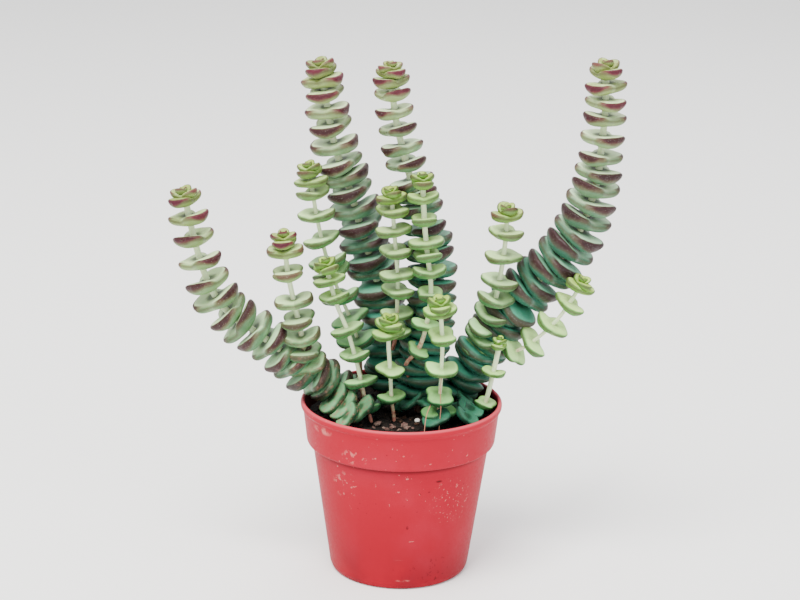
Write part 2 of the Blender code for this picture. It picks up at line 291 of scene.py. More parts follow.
def makeLeafFinish():
    finish, shader = newFinish("leafSkin")
    place = objectPlace(shader)
    age, youth, tip, core = [reading(shader, name) for name in ("age", "youth", "tip", "core")]
    rim, drop, facing = [reading(shader, name) for name in ("rim", "drop", "facing")]
    blush, tone, mottle = [reading(shader, name) for name in ("blush", "tone", "mottle")]
    patches = speckle(place, 210)
    grain = speckle(place, 1500, 2.0)
    waver = minus(patches, 0.5)
    aged = plus(age, times(waver, 0.2))
    old = colourRamp(aged, leafHues["oldByAge"])
    young = colourRamp(aged, leafHues["youngByAge"])
    skin = blendIn(youth, old, young)
    powder = times(spread(grain, 0.45, 0.75, 0, 0.3), spread(age, 0.7, 0.1, 0.1, 1), spread(age, 0.0, 0.08, 0.1, 1))
    skin = blendIn(powder, skin, leafHues["bloom"])
    # Painted shade: the top turns dark olive round the stem, where the pair above shades it, less so in young
    # leaves
    ridge = plus(core, times(waver, 0.3))
    stemShade = times(spread(ridge, 0.52, 0.24, 0, 0.85), spread(facing, 0.6, 0.9), spread(youth, 0.2, 1, 1, 0.25))
    skin = blendIn(stemShade, skin, leafHues["hollow"])
    # The tops are greener towards the rim in young leaves, and browner in old ones
    outward = blendIn(youth, leafHues["rimLineAndShade"], leafHues["youngRim"])
    outwardShare = plus(spread(rim, 0.5, 0.95, 0, 0.4), times(youth, 0.15))
    skin = blendIn(times(outwardShare, spread(rim, 0.3, 0.6)), skin, outward)
    # The sides under the rim are deeper green, partly their own colour and partly painted shade where they turn
    # away from the light above, most of all towards the tips
    side = spread(facing, 0.91, 0.56)
    oldSide = colourRamp(aged, leafHues["oldSideHueAndShadeByAge"])
    sideHueAndShade = blendIn(youth, oldSide, colourRamp(aged, leafHues["youngSideHueAndShadeByAge"]))
    skin = blendIn(times(side, spread(tip, 0.0, 0.5, 0.75, 1)), skin, sideHueAndShade)
    # Painted shade: a dark olive band along the side just under the rim, for the shadow in the crease between
    # stacked pairs
    rimCreaseShade = times(spread(drop, 0.0, 0.05), spread(drop, 0.22, 0.08), side, 0.65)
    skin = blendIn(rimCreaseShade, skin, leafHues["rimLineAndShade"])
    # The maroon edge starts at the rim and fades down the side, deepest at the tips
    reach = plus(spread(tip, 0.15, 0.7, -0.12, 0.06), spread(tip, 0.7, 1.0, 0, 0.2))
    below = minus(drop, times(waver, 0.2), reach)
    atRim = spread(rim, 0.35, 0.7)
    edge = times(spread(below, 0.25, -0.17), sums("MAXIMUM", side, atRim),
                 spread(tip, 0.2, 0.65, 0.4, 1), spread(age, 0.45, 0.75, 1, 0.3))
    edge = minus(edge, minus(plus(times(mottle, 0.5), 1), blush))
    fade = blendIn(spread(age, 0.2, 0.42), leafHues["edgeFade"], leafHues["oldFade"])
    fade = blendIn(youth, fade, leafHues["youngFade"])
    skin = blendIn(spread(edge, 0, 0.5, 0, 0.8), skin, fade)
    maroon = colourRamp(age, leafHues["edgeByAge"])
    skin = blendIn(spread(edge, 0.4, 0.95, 0, 0.92), skin, maroon)
    skin = blendIn(spread(edge, 0.85, 1.0, 0, 0.5), skin, leafHues["edgeDeep"])
    dots = spread(speckle(place, 1900, 1.0), 0.64, 0.72, 0, 0.14)
    skin = blendIn(times(dots, spread(age, 0.02, 0.12)), skin, leafHues["bloom"])
    spots = times(spread(speckle(place, 430), 0.52, 0.66), mottle)
    skin = blendIn(spots, skin, leafHues["mottle"])
    # Little light reaches the leaves near the soil
    across, depth, height = addNode("ShaderNodeSeparateXYZ", {0: place}).outputs
    shade = times(spread(height, *soilShade["height"], 0, 0.6), spread(across, *soilShade["left"], 0.3, 1),
                  spread(across, *soilShade["right"], 1, 0.4))
    shadeTint = blendIn(youth, leafHues["shade"], leafHues["youngShade"])
    skin = blendIn(shade, skin, shadeTint)
    lit = addNode("ShaderNodeHueSaturation", {"Value": spread(tone, 0, 1, 0.85, 1.15), "Color": skin})
    plugIn(shader, {
        "Base Color": lit.outputs[0],
        "Roughness": spread(grain, 0.3, 0.7, 0.4, 0.56),
        "Subsurface Weight": 0.12,
        "Subsurface Radius": (0.6, 1.0, 0.35),
        "Subsurface Scale": 0.0015,
        "Specular IOR Level": 0.2,
    })
    relief = plus(times(patches, 0.8), times(grain, 0.2))
    bumps(shader, relief, 0.0005, 0.5)
    return finish


barkHues = {"fresh": (200, 216, 172), "pink": (176, 112, 96), "aged": (84, 62, 48), "crack": (92, 56, 46)}


def makeBarkFinish():
    finish, shader = newFinish("stemBark")
    streaks = speckle(objectPlace(shader), 520)
    woody = plus(reading(shader, "age"), times(minus(streaks, 0.5), 0.4))
    wood = blendIn(reading(shader, "youth"), barkHues["aged"], barkHues["pink"])
    skin = blendIn(spread(woody, 0.55, 0.85), barkHues["fresh"], wood)
    cracks = times(spread(streaks, 0.58, 0.7), spread(woody, 0.6, 1.0))
    skin = blendIn(cracks, skin, barkHues["crack"])
    plugIn(shader, {"Base Color": skin, "Roughness": 0.55, "Subsurface Weight": 0.1, "Subsurface Scale": 0.0015})
    bumps(shader, streaks, 0.0004, 0.7)
    return finish


# Leaf pair: two thick leaves that have grown together round the stem, in a form for each age.
# Each row across it, from the stem to the tip, gives its place, its half breadth and its depth.
# Sizes are for a half length of 10, and each pair on a stem is scaled to its own.
leafForms = {
    "head": {
        "rows": ((0, 4.6, 0.9), (3.2, 6.6, 1.0), (6.6, 5.6, 0.9), (9.1, 2.6, 0.65)),
        "depth": 4.4, "above": 0.4, "point": 1.0, "hollow": 0.3, "lip": -0.7, "flare": 1.2, "keel": 0.7,
        "undercut": 0.9,
    },
    "young": {
        "rows": ((0, 6.3, 0.9), (3.8, 7.8, 1.0), (7.2, 7.1, 0.9), (9.4, 4.0, 0.65)),
        "depth": 4.5, "above": 0.4, "point": 0.7, "hollow": 0.3, "lip": -0.7, "flare": 1.1, "keel": 0.7,
        "undercut": 0.9,
    },
    "full": {
        "rows": ((0, 6.0, 0.9), (3.6, 8.6, 1.05), (7.0, 7.6, 0.95), (9.4, 4.1, 0.7)),
        "depth": 4.8, "above": 0.38, "point": 0.7, "hollow": 0.4, "lip": -0.9, "flare": 1.3, "keel": 0.9,
        "undercut": 0.9,
    },
    "old": {
        "rows": ((0, 6.5, 1.0), (3.8, 8.4, 1.0), (7.2, 7.5, 0.9), (9.6, 4.4, 0.65)),
        "depth": 4.8, "above": 0.42, "point": 0.5, "hollow": 0.3, "lip": -0.8, "flare": 1.2, "keel": 0.8,
        "undercut": 0.91,
    },
}
leafCage = {"halfLength": 10, "columns": 6, "rows": 4, "smoothing": 2, "near": 0.05}
leafBend = {"hinge": 0.3, "cupFrom": 0.4}  # shares of the half length


def markPoints(pair, group, weight):
    pair.vertex_groups.active_index = group.index
    bpy.context.scene.tool_settings.vertex_group_weight = weight
    bpy.ops.object.vertex_group_assign()


def modelLeafPair(name, form):
    half = leafCage["halfLength"]
    top = form["above"] * form["depth"]
    middle = (top - form["depth"] / 2) * mm
    near = leafCage["near"] * mm
    clearSelection()
    bpy.ops.mesh.primitive_grid_add(x_subdivisions=leafCage["columns"], y_subdivisions=leafCage["rows"],
                                    size=2 * half * mm, location=(0, 0, top * mm))
    pair = nameNew(name + "PairModel")
    bpy.ops.object.transform_apply(location=True, rotation=True, scale=True)
    openMesh()
    bpy.ops.mesh.extrude_region_move(TRANSFORM_OT_translate={"value": (0, 0, -form["depth"] * mm)})

    def atRim(co):
        return abs(abs(co.y) - half * mm) < near or abs(abs(co.x) - half * mm) < near

    rim = pair.vertex_groups.new(name="rim")
    lowerRim = pair.vertex_groups.new(name="lowerRim")
    pickPoints(pair, lambda co: co.z < middle and atRim(co))
    markPoints(pair, lowerRim, 1.0)
    pickPoints(pair, lambda co: co.z > middle and atRim(co))
    markPoints(pair, rim, 1.0)
    for isTop, y, rise in ((True, 0, -form["hollow"]), (True, half, form["lip"]),
                           (False, half, form["flare"]), (False, 0, -form["keel"])):
        pickPoints(pair, lambda co: (co.z > middle) == isTop and abs(abs(co.y) - y * mm) < near)
        bpy.ops.transform.translate(value=(0, 0, rise * mm))
    rowGap = half / (len(form["rows"]) - 1)
    for row, (station, breadth, depth) in reversed(list(enumerate(form["rows"]))):
        for side in ((-1, 1) if row else (1,)):
            start = side * row * rowGap * mm
            pickPoints(pair, lambda co: abs(co.x - start) < near)
            bpy.ops.transform.resize(value=(1, breadth / half, depth), center_override=(start, 0, 0))
            bpy.ops.transform.translate(value=(side * station * mm - start, 0, 0))
    for side in (-1, 1):
        tipPlace = side * form["rows"][-1][0] * mm
        pickPoints(pair, lambda co: abs(co.x - tipPlace) < near and abs(co.y) < near)
        bpy.ops.transform.translate(value=(side * form["point"] * mm, 0, 0))
    bpy.ops.mesh.select_all(action="DESELECT")
    pair.vertex_groups.active_index = lowerRim.index
    bpy.ops.object.vertex_group_select()
    bpy.ops.transform.resize(value=(form["undercut"], form["undercut"], 1), center_override=(0, 0, 0))
    turnOutwards(pair)
    step = pair.modifiers.new("round", "SUBSURF")
    step.levels = step.render_levels = leafCage["smoothing"]
    applyAll(pair)
    bpy.ops.object.shade_smooth()
    return pair


def readLeafPair(pair):  # its points in shares of the half length, and what colours them
    points = pointsOf(pair)
    points /= np.abs(points[:, 0]).max()
    rim = np.zeros(len(points))
    for point in pair.data.vertices:
        for group in point.groups:
            if group.group == 0:
                rim[point.index] = group.weight
    pair.vertex_groups.clear()
    tip = np.abs(points[:, 0])
    onRim = np.flatnonzero(rim > 0.99)
    onRim = onRim[np.argsort(tip[onRim])]
    return points, {
        "rim": rim,
        "drop": np.interp(tip, tip[onRim], points[onRim, 2]) - points[:, 2],
        "facing": [point.normal.z for point in pair.data.vertices],
        "tip": tip,
        "core": np.hypot(points[:, 0], points[:, 1]),
    }


def bentPair(points, size, lift, curl, cup, leftSize):  # leaves lifted from the stem, in mm
    reach = np.abs(points[:, 0])
    hinge = np.clip(reach / leafBend["hinge"], 0, 1)
    angle = np.radians(lift) * hinge * hinge * (3 - 2 * hinge) + np.radians(curl) * reach * reach
    height = points[:, 2] + cup * points[:, 1] ** 2 * np.clip(reach / leafBend["cupFrom"], 0, 1)
    uneven = np.where(points[:, 0] < 0, leftSize, 1)
    x = np.sign(points[:, 0]) * (reach * np.cos(angle) - height * np.sin(angle))
    z = reach * np.sin(angle) + height * np.cos(angle)
    return np.stack([x * uneven, points[:, 1], z], 1) * size


# Leafy stems: the routes and the rule of the solids that they replace, but the right arch's top is
# drawn in a little and one leaf size there is smaller. A route runs from the root to the tip, leaf
# sizes and gaps from the tip down, and the last gap repeats.
leafRule = {
    "headGaps": (1.0, 1.5, 2.3),
    "headSizes": (0.52, 0.78, 1.0),
    "headLifts": (32, 20, 10),
    "turnJitter": 7,
    "liftJitter": 4,
    "soilLevel": 82.5,
    "lowestLeaf": 7.0,
    "bareFoot": 6.0,
    "bud": (0.5, 0.3, 50),
    "headBlush": (0.7, 0.8, 0.95, 1.0),
    "youngHeadBlush": 0.35,
    "lean": (3, 11),
    "restlessLift": 14,
    "sizes": (0.97, 1.03),
    "curls": (-4, 8),
    "cups": (0.02, 0.16),
    "cupFade": 0.6,
    "leftSizes": (0.94, 1.04),
    "blushes": (0.92, 1.0),
    "youngFrom": 0.5,
    "blushHeadFrom": 0.3,
    "oldFrom": 0.6,
    "mottleFrom": 0.55,
}
headCount = len(leafRule["headGaps"])
stems = {
    "leftArch": dict(
        route=((-21, 6.5, 70), (-21, 6.5, 82), (-28, 5, 92), (-38, 2, 99.5), (-50, -2, 107), (-62, -5, 118.5),
               (-74.5, -8, 129), (-88, -9, 139), (-98, -10, 154), (-105, -10, 176), (-110.5, -10, 203)),
        radii=(2.0, 1.6), leaves=(10.3, 10.8, 12.9, 13.0, 12.4, 6.6), lifts=(8, 6), turn=60, seed=11,
        gaps=(9.6, 11, 11.9, 12, 9.4, 10.2, 8, 9.1, 8.4, 9.4, 7.6, 9, 6.6, 6.8, 6.3, 5.8),
        youth=0.18, blush=1.0, mottle=0.7, ages=(0.0, 0.6),
    ),
    "leftArchShoot": dict(
        route=((-45, 1, 103), (-49, -5, 111), (-50.5, -8, 122), (-53, -10, 136), (-58, -12, 160),
               (-60.5, -13, 182.5)),
        radii=(1.5, 1.3), leaves=(9.2, 10.2, 10.8), lifts=(10, 4), turn=90, seed=12,
        gaps=(4.8, 11.7, 15.2, 10.2, 10.5, 8, 7.2, 6.5),
        youth=0.4, blush=0.75, mottle=0.4, ages=(0.0, 0.45),
    ),
    "tallLeft": dict(
        route=((-7, 31, 70), (-7, 31, 82), (-7, 30.5, 99), (-8.5, 28.5, 119), (-13, 26, 145), (-20, 24, 169),
               (-28, 22.5, 196), (-36, 21, 220), (-41, 19.5, 246), (-44, 19, 264)),
        radii=(2.2, 1.6), leaves=(10.6, 12.4, 13.8, 14, 13.6, 13), lifts=(6, -3), turn=75, seed=13,
        gaps=(4.5, 6.7, 9, 8.9, 10.2, 9.8, 7.6, 8.5, 9.5, 8.9, 9.5, 8.6, 6.7, 9.5, 7.7, 8.8, 6.4),
        youth=0.0, blush=1.0, ages=(0.0, 0.88),
    ),
    "tallLeftShoot": dict(
        route=((-6, 27, 106), (-4.5, 15, 116), (-3, 3, 127), (-3, -1.2, 143), (-3, -2.8, 159), (-5, -4, 182),
               (-7, -5, 204)),
        radii=(1.0, 1.2), leaves=(8.6, 10, 8.6, 7), lifts=(8, 0), turn=25, seed=14,
        gaps=(6.6, 10.2, 11.1, 12.3, 8.8, 13.1, 9, 60),
        youth=0.75, blush=0.3, ages=(0.0, 0.6),
    ),
    "tallCentre": dict(
        route=((9, 7, 70), (9, 7, 82), (9, 7.5, 104), (13, 9, 126), (14.5, 11, 148), (14, 11, 164),
               (7.5, 11, 191), (0.5, 11, 214), (-5.5, 11, 239), (-8.5, 11, 265)),
        radii=(2.2, 1.6), leaves=(9.1, 10.5, 12.4, 13.2, 13, 10.4), lifts=(8, -5), turn=120, seed=15,
        gaps=(4.4, 6.7, 8.7, 8.7, 9.8, 8.7, 9.8, 7.2, 7.1, 10.5, 7.9, 6.5, 8.2, 7.6, 7.4, 6.8, 6.2),
        youth=0.0, blush=1.0, ages=(0.0, 1.0),
    ),
    "tallCentreShoot": dict(
        route=((9, 8, 92), (4, 3, 102), (2, -1, 111), (8, -5, 120), (12, -8, 134), (14, -9, 153),
               (12, -9.5, 171), (10, -10, 189), (8.5, -10, 213)),
        radii=(1.0, 1.4), leaves=(8.4, 9.3, 8.1, 6.8), lifts=(10, 0), turn=98, seed=16,
        gaps=(7.4, 11.3, 11.6, 6.8, 9, 12.2, 16.1, 15, 60),
        youth=0.85, blush=0.3, ages=(0.0, 0.9),
    ),
    "backLeft": dict(
        route=((-21, 22, 70), (-21, 22, 82), (-21.5, 19, 100), (-23, 14, 117), (-27, 10.5, 131),
               (-33.5, 9, 147), (-40, 8.5, 166), (-45, 7.5, 188), (-49, 6.5, 214)),
        radii=(0.9, 1.1), leaves=(8.5, 10.4, 11.1, 10.1), lifts=(10, 0), turn=60, seed=17,
        gaps=(4.5, 6.6, 11.7, 13, 12.9, 6.3, 13.2, 12.1, 14, 60),
        youth=0.6, blush=0.35, ages=(0.0, 1.0),
    ),
    "frontLeft": dict(
        route=((-15.5, -10.5, 70), (-15.5, -10.5, 82), (-19, -9.5, 95.5), (-23, -9, 113), (-28, -9.5, 131),
               (-34, -9.5, 146), (-40, -9.5, 168)),
        radii=(1.0, 1.2), leaves=(8.4, 8.6, 8.8, 6.6), lifts=(8, 0), turn=125, seed=18,
        gaps=(6.1, 9.2, 18.4, 14.5, 14.3, 14.4, 60),
        youth=0.85, blush=0.25, ages=(0.0, 0.95),
    ),
    "frontCentre": dict(
        route=((-3.5, -8, 70), (-3.5, -8, 82), (-5, -10, 94), (-6, -13, 111), (-7, -16, 126),
               (-7, -17.5, 141)),
        radii=(0.9, 1.15), leaves=(8.4, 7.9, 7.2), lifts=(8, 0), turn=135, seed=19,
        gaps=(4, 20.7, 16.4, 60),
        youth=1.0, blush=0.1, ages=(0.0, 0.9),
    ),
    "frontRight": dict(
        route=((19, -14, 70), (19, -14, 82), (19.5, -15, 98), (20, -18.5, 113), (20, -22.5, 132),
               (18, -25, 153)),
        radii=(0.8, 1.15), leaves=(8.8, 9, 10.2), lifts=(8, -8), turn=100, seed=20,
        gaps=(2.2, 13.6, 19.3, 15.2, 9.1, 60),
        youth=1.0, blush=0.15, ages=(0.0, 1.0),
    ),
    "rightArch": dict(
        route=((26, 17, 70), (26, 17, 82), (29.5, 18, 93.5), (42, 16.5, 114.5), (57, 13.5, 140), (74, 9, 159.5),
               (88, 6, 179), (96, 4, 204), (98.5, 3, 229), (99.2, 2, 249), (98.4, 2, 268.2)),
        radii=(2.2, 1.6), leaves=(10.5, 11.2, 14.6, 15, 13.6, 11), lifts=(5, 4), turn=125, seed=21,
        gaps=(6.5, 8, 8.2, 10.3, 9.8, 8, 8.4, 8.5, 8.5, 8.6, 8.7, 8.3, 8.3, 8.6, 7.9, 8.9, 7.7, 6.2),
        youth=0.0, blush=1.0, ages=(0.0, 0.95),
    ),
    "rightArchShoot": dict(
        route=((37.5, 17, 107), (40.5, 12, 119), (43.5, 8, 129), (47.5, 4, 145), (51, 1, 171.5), (52, -1, 195)),
        radii=(1.3, 1.3), leaves=(9.4, 10.3, 10.3), lifts=(8, 2), turn=30, seed=22,
        gaps=(9.3, 12.6, 14, 10.1, 9.5, 7, 7.1),
        youth=0.6, blush=0.4, ages=(0.0, 0.6),
    ),
    "rightArchSideShoot": dict(
        route=((33, 18, 98), (42, 17, 106.5), (53, 10, 113), (66, 3, 122), (80.2, -3, 138.5), (91.5, -7, 159.5)),
        radii=(0.9, 1.0), leaves=(8.6, 9.7, 8.6), lifts=(8, 0), turn=20, seed=23,
        gaps=(10.9, 15.4, 14.6, 11.6, 60),
        youth=0.9, blush=0.15, ages=(0.0, 0.6),
    ),
    "backRight": dict(
        route=((15, 36, 70), (15, 36, 82), (16, 35, 98), (17.5, 33.5, 116)),
        radii=(1.5, 1.3), leaves=(7.7, 8.6, 8.1), lifts=(10, 0), turn=15, seed=25,
        gaps=(5, 6, 6.4),
        youth=0.0, blush=0.2, ages=(0.6, 1.0),
    ),
    "rightShort": dict(
        route=((41, 1, 70), (41, 1, 82), (43.5, -1, 90), (47, -3, 107), (49.5, -4, 122), (50, -4, 127)),
        radii=(1.2, 1.4), leaves=(5.6, 7, 7), lifts=(6, 0), turn=70, seed=24,
        gaps=(14.8, 18.2, 60),
        youth=1.0, blush=0.05, ages=(0.0, 0.7),
    ),
}
plants = {
    "leafyStemLeft": ("leafy_stem_left", "leaf_old", ("leftArch", "leftArchShoot")),
    "leafyStemTallLeft": ("leafy_stem_tall_left", "leaf_old", ("tallLeft", "tallLeftShoot")),
    "leafyStemTallCentre": ("leafy_stem_tall_centre", "leaf_old", ("tallCentre", "tallCentreShoot")),
    "leafyStemRight": ("leafy_stem_right", "leaf_old", ("rightArch", "rightArchShoot", "rightArchSideShoot")),
    "leafyStemBackRight": ("leafy_stem_back_right", "leaf_old", ("backRight",)),
    "leafyStemBackLeft": ("leafy_stem_back_left", "leaf_young", ("backLeft",)),
    "leafyStemFrontLeft": ("leafy_stem_front_left", "leaf_young", ("frontLeft",)),
    "leafyStemFrontCentre": ("leafy_stem_front_centre", "leaf_young", ("frontCentre",)),
    "leafyStemFrontRight": ("leafy_stem_front_right", "leaf_young", ("frontRight",)),
    "leafyStemRightShort": ("leafy_stem_right_short", "leaf_young", ("rightShort",)),
}


def curvePoint(route, place):  # on the smooth curve through the route's points, place counted in points
    start = min(int(place), len(route) - 2)
    near = [Vector(route[min(max(start + step, 0), len(route) - 1)]) for step in (-1, 0, 1, 2)]
    before, here, there, after = near
    share = place - start
    bend = (2 * before - 5 * here + 4 * there - after) * share**2
    bend += (3 * here - before - 3 * there + after) * share**3
    return here + ((there - before) * share + bend) / 2


def stemLine(route, steps=20):  # points from the tip down, and their distances from the tip
    last = steps * (len(route) - 1)
    line = [curvePoint(route, i / steps) for i in range(last, -1, -1)]
    distances = [0.0]
    for near, far in zip(line, line[1:]):
        distances.append(distances[-1] + (far - near).length)
    return line, distances


def alongStem(line, distances, distance):  # the point there, and the direction of growth
    i = 0
    while i < len(distances) - 2 and distances[i + 1] < distance:
        i += 1
    share = (distance - distances[i]) / (distances[i + 1] - distances[i])
    growth = line[max(i - 3, 0)] - line[min(i + 4, len(line) - 1)]
    return line[i].lerp(line[i + 1], share), growth.normalized()


def sideways(growth):
    across = Vector((1, 0, 0))
    return (across - growth * across.dot(growth)).normalized()


def between(values, share):
    place = share * (len(values) - 1)
    i = min(int(place), len(values) - 2)
    return values[i] + (values[i + 1] - values[i]) * (place - i)


def pairPlaces(stem, line, distances):  # distance from the tip, half length and lift, from the head down
    places = []
    distance = 0.0
    for gap, size, lift in zip(leafRule["headGaps"], leafRule["headSizes"], leafRule["headLifts"]):
        distance += gap
        places.append((distance, size * stem["leaves"][0], lift))
    gaps = stem["gaps"]
    i = 0
    while True:
        distance += gaps[min(i, len(gaps) - 1)]
        i += 1
        if distance > distances[-1] - leafRule["bareFoot"]:
            break
        if alongStem(line, distances, distance)[0].z < leafRule["soilLevel"] + leafRule["lowestLeaf"]:
            break
        share = distance / distances[-1]
        places.append((distance, between(stem["leaves"], share), between(stem["lifts"], share)))
    return places


def writeReadings(piece, readings):  # numbers on the points, which the finish reads
    count = len(piece.data.vertices)
    for name, values in readings.items():
        layer = piece.data.attributes.new(name, "FLOAT", "POINT")
        layer.data.foreach_set("value", np.broadcast_to(np.asarray(values, np.float32), (count,)).copy())


def formFor(stem, i, share):
    if i < headCount:
        return "head"
    if stem["youth"] > leafRule["youngFrom"]:
        return "young"
    return "full" if share < leafRule["oldFrom"] else "old"


def setPair(form, origin, across, growth, shaped, look):
    model, points, readings = form
    turned = np.array(Matrix((across, growth.cross(across), growth)).transposed())
    pair = placeCopy(model, shaped @ turned.T + np.array(origin))
    tone = np.where(points[:, 0] < 0, look.pop("leftTone"), look.pop("rightTone"))
    writeReadings(pair, {**readings, **look, "tone": tone})
    return pair


def setLeaves(stem, forms):
    line, distances = stemLine(stem["route"])
    places = pairPlaces(stem, line, distances)
    draw = random.Random(stem["seed"])
    looks = random.Random(stem["seed"] + 100)
    made = []
    budDistance, budSize, budLift = leafRule["bud"]
    bud = (budDistance, budSize * stem["leaves"][0], budLift)
    for i, (distance, size, lift) in enumerate([*places, bud]):
        if i == len(places):
            i = -1
        origin, growth = alongStem(line, distances, distance)
        turn = math.radians(stem["turn"] + 90 * i + draw.uniform(-leafRule["turnJitter"], leafRule["turnJitter"]))
        across = sideways(growth)
        across = across * math.cos(turn) + growth.cross(across) * math.sin(turn)
        lift += draw.uniform(-leafRule["liftJitter"], leafRule["liftJitter"])
        share = distance / distances[-1]
        # Old pairs lean and lift less evenly than young ones
        least, most = leafRule["lean"]
        lean = math.radians(looks.uniform(-1, 1) * (least + (most - least) * share**2))
        lift += looks.uniform(-1, 1) * leafRule["restlessLift"] * share**2
        tilted = Matrix.Rotation(lean, 3, growth.cross(across))
        across, growth = tilted @ across, tilted @ growth
        youngest, oldest = stem["ages"]
        form = forms[formFor(stem, i, share)]
        size *= looks.uniform(*leafRule["sizes"])
        curl = looks.uniform(*leafRule["curls"])
        cup = looks.uniform(*leafRule["cups"]) * (1 - leafRule["cupFade"] * share)
        shaped = bentPair(form[1], size, lift, curl, cup, looks.uniform(*leafRule["leftSizes"]))
        headBlush = between(leafRule["headBlush"], min(max(i, 0) / headCount, 1))
        mottleFrom = leafRule["mottleFrom"]
        look = {
            "age": youngest + (oldest - youngest) * share,
            "youth": stem["youth"],
            "blush": stem["blush"] * looks.uniform(*leafRule["blushes"]) * headBlush,
            "mottle": stem.get("mottle", 0) * max(0, (share - mottleFrom) / (1 - mottleFrom)),
            "leftTone": looks.random(),
            "rightTone": looks.random(),
        }
        if stem["youth"] > leafRule["blushHeadFrom"] and i < headCount:
            look["blush"] = min(1, look["blush"] + leafRule["youngHeadBlush"])
        made.append(setPair(form, origin, across, growth, shaped, look))
    return made


stemTube = {"step": 2.5, "roundness": 2, "swelling": 0.28, "swellingReach": 1.8}


def makeStemTube(name, stem):
    line, distances = stemLine(stem["route"])
    pairs = [place[0] for place in pairPlaces(stem, line, distances)]
    count = max(4, round(distances[-1] / stemTube["step"]))
    base, tip = stem["radii"]
    course = []
    for i in range(count + 1):
        distance = distances[-1] * i / count
        place = alongStem(line, distances, distance)[0]
        nearest = min(abs(distance - pair) for pair in pairs)
        swelling = 1 + stemTube["swelling"] * max(0, 1 - nearest / stemTube["swellingReach"])
        course.append((place, (tip + (base - tip) * i / count) * swelling))
    tube = drawTube(name + "Tube", course, stemTube["roundness"])
    turnOutwards(tube)
    bpy.ops.object.shade_smooth()
    heights = pointsOf(tube)[:, 2]
    low, high = heights.min(), heights.max()
    writeReadings(tube, {"age": (high - heights) / (high - low), "youth": stem["youth"]})
    return tube


# Old leaf pairs that lie low between the stems' feet: place, half length, turn, tilt to the left
# and lean to the front
lowLeaves = {
    "shaded": (
        (2, 2, 89, 7.5, 20, 34, 0), (12, 19, 89, 8, 110, 30, 0), (18, 4, 89, 7.5, 150, 30, 15),
        (33, 8, 89, 7.5, 100, -40, 0), (-9, 5, 89, 7, 160, 38, 0), (27, -8, 89, 7.8, 165, 22, 14),
        (18, -21, 88.5, 7.6, 14, 20, 16), (35, -8, 89, 7.8, -15, -26, 12), (5, -1, 91, 7.6, 25, 35, 12),
        (13, -1.5, 90.5, 7.6, -20, -22, 10), (33, -17, 88, 6.8, 20, -34, 12),
    ),
    "mottled": (
        (-20.5, -18, 91.5, 8.8, 15, 42, 18), (-34.5, -5, 92.5, 10, 30, 46, 20), (-29, -12, 91, 9.4, 40, 46, 20),
        (-27, -22, 89, 8, 20, 50, 20),
    ),
}
lowLooks = {
    "shaded": {"age": 0.8, "youth": 0.1, "blush": 0.3, "mottle": 0.0},
    "mottled": {"age": 0.58, "youth": 0.35, "blush": 0.75, "mottle": 0.6},
}
lowRule = {"seed": 31, "lifts": (-2, 12), "curls": (-4, 8), "cup": 0.08, "leftSizes": (0.9, 1), "tones": (0, 0.7)}


def makeLowLeaves(form):
    draw = random.Random(lowRule["seed"])
    made = []
    for kind, places in lowLeaves.items():
        for x, y, z, size, turn, tilt, lean in places:
            turned = Matrix.Rotation(math.radians(lean), 3, "X") @ Matrix.Rotation(math.radians(-tilt), 3, "Y")
            turned = turned @ Matrix.Rotation(math.radians(turn), 3, "Z")
            across, growth = turned @ Vector((1, 0, 0)), turned @ Vector((0, 0, 1))
            lift, curl = draw.uniform(*lowRule["lifts"]), draw.uniform(*lowRule["curls"])
            shaped = bentPair(form[1], size, lift, curl, lowRule["cup"], draw.uniform(*lowRule["leftSizes"]))
            leftTone, rightTone = draw.uniform(*lowRule["tones"]), draw.uniform(*lowRule["tones"])
            look = {**lowLooks[kind], "leftTone": leftTone, "rightTone": rightTone}
            made.append(setPair(form, (x, y, z), across, growth, shaped, look))
    handOver(joinAll(made, "lowLeaves"), "leaf_old")
    print("low leaves", len(made))


# Thin roots that hang from the front right stem to the soil
airRoots = {
    "routes": (
        ((20.2, -20.5, 112.5), (19.6, -23.0, 104), (20.0, -24.0, 95), (19.2, -25.2, 82)),
        ((19.0, -15.5, 97), (15.2, -20.5, 96), (12.9, -26.5, 92.5), (12.0, -31.0, 88), (11.6, -33.5, 82)),
    ),
    "radius": 0.22,
    "steps": 8,
    "roundness": 1,
    "tan": (176, 116, 92),
}


def makeAirRoots():
    finish, shader = newFinish("rootTan")
    plugIn(shader, {"Base Color": tint(*airRoots["tan"]), "Roughness": 0.7})
    made = []
    for route in airRoots["routes"]:
        course = [(place, airRoots["radius"]) for place in stemLine(route, airRoots["steps"])[0]]
        made.append(drawTube("airRoot", course, airRoots["roundness"]))
    whole = joinAll(made, "airRoots")
    turnOutwards(whole)
    bpy.ops.object.shade_smooth()
    whole.data.materials.append(finish)
    handOver(whole, "leaf_young")
    print("air roots")


def makePlants():
    leafSkin = makeLeafFinish()
    stemBark = makeBarkFinish()
    forms = {}
    for name, form in leafForms.items():
        model = modelLeafPair(name, form)
        model.data.materials.append(leafSkin)
        forms[name] = (model, *readLeafPair(model))
    for piece, (node, slot, names) in plants.items():
        made = []
        for name in names:
            tube = makeStemTube(name, stems[name])
            tube.data.materials.append(stemBark)
            made.append(tube)
            made += setLeaves(stems[name], forms)
        plant = joinAll(made, piece)
        handOver(plant, slot, node)
        print(piece, "with", len(made) - len(names), "leaf pairs")
    makeLowLeaves(forms["old"])
    makeAirRoots()
    for form in forms.values():
        bpy.data.objects.remove(form[0])


